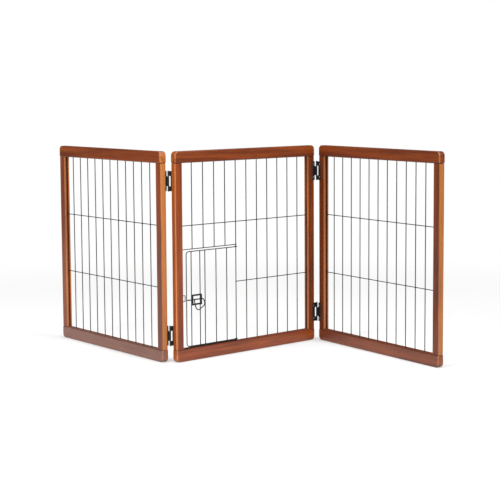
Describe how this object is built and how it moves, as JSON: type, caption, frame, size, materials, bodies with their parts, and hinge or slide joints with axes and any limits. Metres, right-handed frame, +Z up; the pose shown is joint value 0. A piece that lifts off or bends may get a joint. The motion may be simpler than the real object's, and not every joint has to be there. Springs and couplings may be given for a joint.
{
  "type": "folding pet gate",
  "caption": "Freestanding folding pet gate: hinged wooden frames with upright wire grids and a small latched wire pet door in the middle panel.",
  "frame": {"origin": "on the floor under the middle of the middle panel, at the mid-plane of that panel", "axes": "+X along the middle panel towards the right panel, +Y to the back of the middle panel, +Z up; the pet door is at the low -X side and the front faces -Y"},
  "size_m": [0.5999, 1.1208, 0.61],
  "materials": {
    "stained_wood": "glossy reddish-brown stain",
    "black_wire": "satin black coated wire",
    "black_steel": "satin black painted steel",
    "screw_steel": "darkened steel"
  },
  "bodies": {
    "middle_panel": {"middle_top_rail": "stained_wood", "middle_bottom_rail": "stained_wood", "middle_left_stile": "stained_wood", "middle_right_stile": "stained_wood", "middle_grid": "black_wire", "latch_keeper": "black_wire", "left_lower_hinge_fixed_leaf": "black_steel", "left_lower_hinge_fixed_lower_screw": "screw_steel", "left_lower_hinge_fixed_upper_screw": "screw_steel", "left_lower_hinge_pin": "black_steel", "left_upper_hinge_fixed_leaf": "black_steel", "left_upper_hinge_fixed_lower_screw": "screw_steel", "left_upper_hinge_fixed_upper_screw": "screw_steel", "left_upper_hinge_pin": "black_steel", "right_lower_hinge_fixed_leaf": "black_steel", "right_lower_hinge_fixed_lower_screw": "screw_steel", "right_lower_hinge_fixed_upper_screw": "screw_steel", "right_lower_hinge_pin": "black_steel", "right_upper_hinge_fixed_leaf": "black_steel", "right_upper_hinge_fixed_lower_screw": "screw_steel", "right_upper_hinge_fixed_upper_screw": "screw_steel", "right_upper_hinge_pin": "black_steel"},
    "left_panel": {"left_top_rail": "stained_wood", "left_bottom_rail": "stained_wood", "left_left_stile": "stained_wood", "left_right_stile": "stained_wood", "left_grid": "black_wire", "left_lower_hinge_moving_leaf": "black_steel", "left_lower_hinge_moving_lower_screw": "screw_steel", "left_lower_hinge_moving_upper_screw": "screw_steel", "left_upper_hinge_moving_leaf": "black_steel", "left_upper_hinge_moving_lower_screw": "screw_steel", "left_upper_hinge_moving_upper_screw": "screw_steel"},
    "right_panel": {"right_top_rail": "stained_wood", "right_bottom_rail": "stained_wood", "right_left_stile": "stained_wood", "right_right_stile": "stained_wood", "right_grid": "black_wire", "right_lower_hinge_moving_leaf": "black_steel", "right_lower_hinge_moving_lower_screw": "screw_steel", "right_lower_hinge_moving_upper_screw": "screw_steel", "right_upper_hinge_moving_leaf": "black_steel", "right_upper_hinge_moving_lower_screw": "screw_steel", "right_upper_hinge_moving_upper_screw": "screw_steel"},
    "pet_door": {"pet_door": "black_wire", "latch_guide": "black_steel"},
    "latch_bolt": {"latch_bolt": "black_steel"}
  },
  "joints": [
    {"name": "left_fold", "type": "hinge", "parent": "middle_panel", "child": "left_panel", "pos_m": [-0.278, 0.012, 0], "axis": [0, 0, -1], "range_deg": [-90.5, 79.5]},
    {"name": "right_fold", "type": "hinge", "parent": "middle_panel", "child": "right_panel", "pos_m": [0.278, -0.012, 0], "axis": [0, 0, -1], "range_deg": [-94.8, 75.2]},
    {"name": "door_swing", "type": "hinge", "parent": "middle_panel", "child": "pet_door", "pos_m": [-0.041, -0.0009, 0], "axis": [0, 0, -1], "range_deg": [0, 175]},
    {"name": "bolt_slide", "type": "slide", "parent": "pet_door", "child": "latch_bolt", "axis": [-1, 0, 0], "range_m": [-0.014, 0.0035]}
  ]
}
